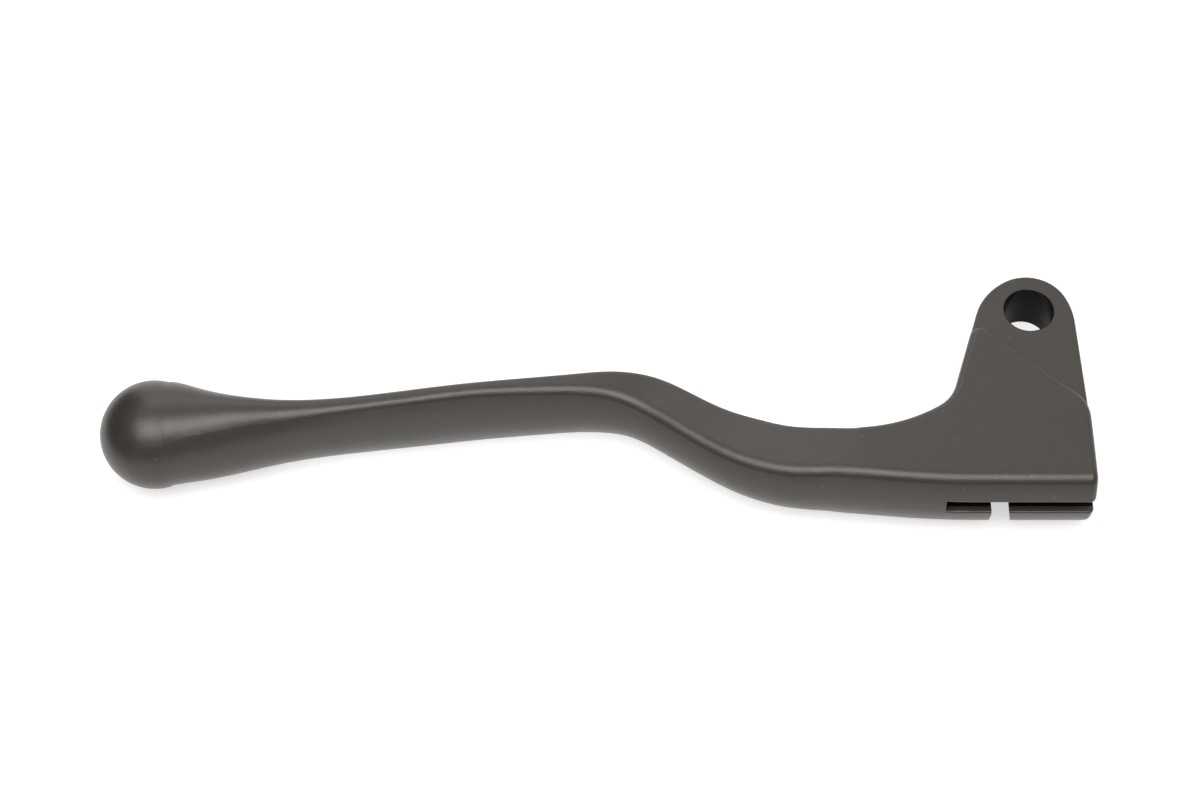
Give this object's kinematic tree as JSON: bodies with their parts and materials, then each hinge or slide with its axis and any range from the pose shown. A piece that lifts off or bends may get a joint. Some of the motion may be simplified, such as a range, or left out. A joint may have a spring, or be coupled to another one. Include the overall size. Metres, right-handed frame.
{
  "type": "brake lever",
  "caption": "One-piece black hand brake lever with a pivot eye, a slotted cable arm, a dog-leg blade and a ball end.",
  "frame": {"origin": "centre of the pivot bore, half way through the tongue", "axes": "+Z along the pivot axis, up on the bike; +X along the cable arm's straight front edge, the way the cable leaves; +Y from the fingers towards the handlebar; the blade runs towards -X"},
  "size_m": [0.1584, 0.0422, 0.0174],
  "materials": {
    "black_coat": "satin black powder coat on a cast aluminium alloy lever"
  },
  "bodies": {
    "root": {"lever": "black_coat"}
  },
  "joints": []
}
